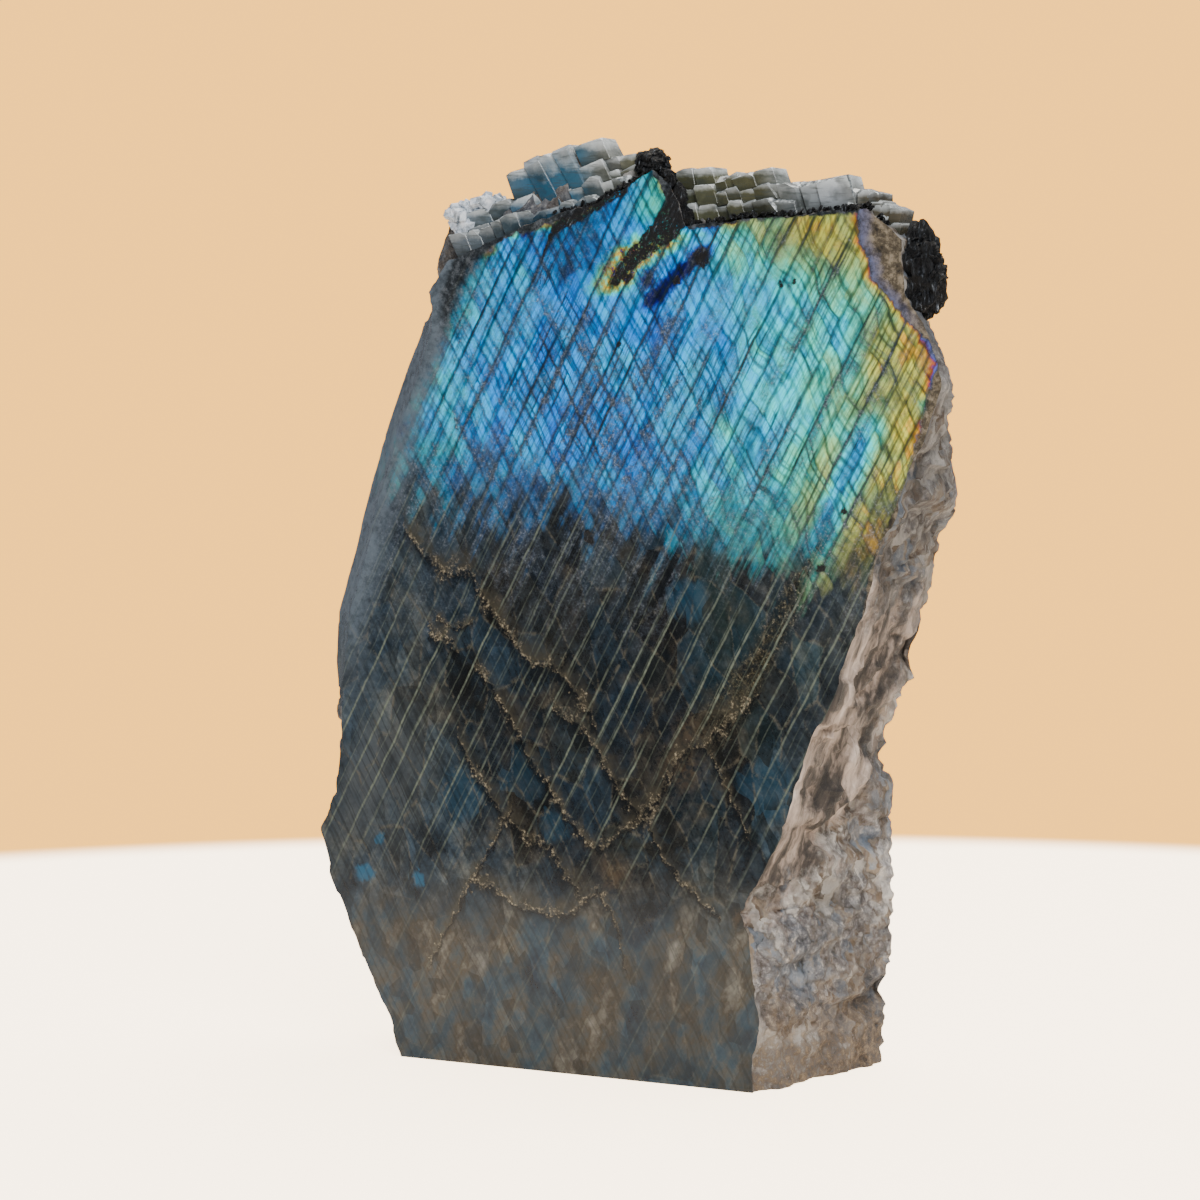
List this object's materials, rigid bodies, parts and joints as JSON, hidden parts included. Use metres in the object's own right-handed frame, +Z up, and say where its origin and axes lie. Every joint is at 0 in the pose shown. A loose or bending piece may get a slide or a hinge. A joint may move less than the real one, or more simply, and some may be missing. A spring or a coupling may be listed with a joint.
{
  "type": "rough labradorite chunk",
  "caption": "Free-standing chunk of rough labradorite with one polished face that flashes blue and gold, broken sides and a sawn base.",
  "frame": {"origin": "on the sawn base, below the middle of the stone", "axes": "+X runs right along the polished face, -Y is the way the polished face looks, +Z is up"},
  "size_m": [0.1453, 0.0525, 0.1863],
  "materials": {
    "labradorite": "polished front face, broken matt sides"
  },
  "bodies": {
    "root": {"labradorite_chunk": "labradorite"}
  },
  "joints": []
}
